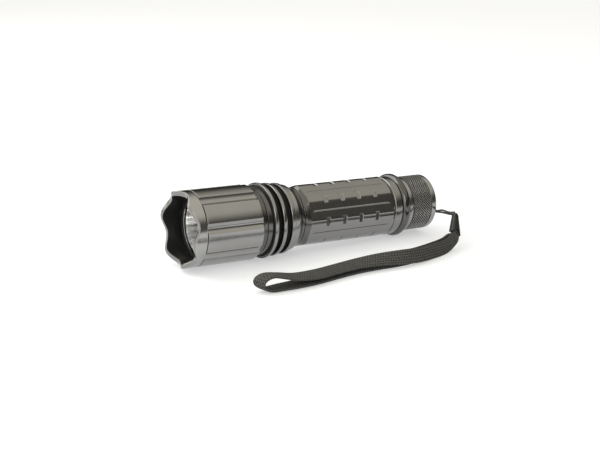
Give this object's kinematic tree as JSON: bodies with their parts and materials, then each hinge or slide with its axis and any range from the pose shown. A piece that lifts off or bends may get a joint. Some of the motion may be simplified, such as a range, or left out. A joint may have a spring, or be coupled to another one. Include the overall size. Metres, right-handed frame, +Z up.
{
  "type": "tactical flashlight",
  "caption": "Black aluminium tactical flashlight with crowned bezel, fluted head, finned neck, octagonal barrel, tail button and wrist strap.",
  "frame": {"origin": "On the floor under the middle of the light, which lies on its first cooling fin and its tail flange.", "axes": "+X runs along the light from the bezel to the tail cap (the axis dips 1.85 degrees towards the tail), +Z is up, and the wrist strap lies on the -Y side."},
  "size_m": [0.1503, 0.0766, 0.0395],
  "materials": {
    "black_anodised": "satin black anodised",
    "brass": "plain turned",
    "spring_steel": "bright wire",
    "mirror_coat": "smooth reflective coating",
    "lens_glass": "clear polished",
    "black_rubber": "matt",
    "white_plastic": "matt",
    "board_green": "matt",
    "emitter_ceramic": "matt",
    "phosphor_dome": "gloss",
    "cell_wrap": "shrink wrap",
    "black_webbing": "woven"
  },
  "bodies": {
    "barrel_body": {"barrel": "black_anodised", "head_o_ring": "black_rubber", "tail_o_ring": "black_rubber", "battery_cell": "cell_wrap", "battery_tip": "spring_steel", "battery_sleeve": "white_plastic"},
    "light_module": {"pill": "brass", "led_board": "emitter_ceramic", "led_emitter": "emitter_ceramic", "led_dome": "phosphor_dome", "centring_ring": "white_plastic", "driver_board": "board_green", "driver_ring": "brass", "led_screw_1": "spring_steel", "led_screw_2": "spring_steel", "led_lead_1": "black_rubber", "led_lead_2": "black_rubber", "contact_spring": "brass"},
    "head": {"head_shell": "black_anodised", "heat_sink": "black_anodised", "lens": "lens_glass", "reflector": "mirror_coat"},
    "bezel_seat": {"lens_gasket": "black_rubber"},
    "bezel": {"bezel_ring": "black_anodised"},
    "switch_module": {"switch_retaining_ring": "brass", "switch_board": "board_green", "switch_housing": "white_plastic", "button_seal": "black_rubber", "tail_spring": "spring_steel", "return_spring": "spring_steel"},
    "tail": {"tail_cap": "black_anodised", "lanyard_string": "black_webbing", "lanyard_crimp": "black_anodised", "wrist_strap": "black_webbing"},
    "button": {"tail_button": "black_rubber", "switch_plunger": "white_plastic"}
  },
  "joints": [
    {"name": "head_advance", "type": "slide", "parent": "barrel_body", "child": "light_module", "axis": [-0.9995, 0, 0.0322], "range_m": [0, 0.00601]},
    {"name": "head_turn", "type": "hinge", "parent": "light_module", "child": "head", "pos_m": [-0.01531, 0, 0.01869], "axis": [-0.9995, 0, 0.0322], "range_deg": [0, 1800]},
    {"name": "bezel_advance", "type": "slide", "parent": "head", "child": "bezel_seat", "axis": [-0.9995, 0, 0.0322], "range_m": [0, 0.00501]},
    {"name": "bezel_turn", "type": "hinge", "parent": "bezel_seat", "child": "bezel", "pos_m": [-0.06628, 0, 0.02033], "axis": [-0.9995, 0, 0.0322], "range_deg": [0, 1800]},
    {"name": "tail_advance", "type": "slide", "parent": "barrel_body", "child": "switch_module", "axis": [0.9995, 0, -0.0322], "range_m": [0, 0.00601]},
    {"name": "tail_turn", "type": "hinge", "parent": "switch_module", "child": "tail", "pos_m": [0.05366, 0, 0.01646], "axis": [0.9995, 0, -0.0322], "range_deg": [0, 1800]},
    {"name": "button_press", "type": "slide", "parent": "switch_module", "child": "button", "axis": [-0.9995, 0, 0.0322], "range_m": [0, 0.0016], "stiffness_N_per_m": 2000, "deforming": ["return_spring"]}
  ],
  "couplings": [
    {"joint": "head_advance", "follows": "head_turn", "m_per_rad": 0.00019098},
    {"joint": "bezel_advance", "follows": "bezel_turn", "m_per_rad": 0.00015915},
    {"joint": "tail_advance", "follows": "tail_turn", "m_per_rad": 0.00019098}
  ]
}
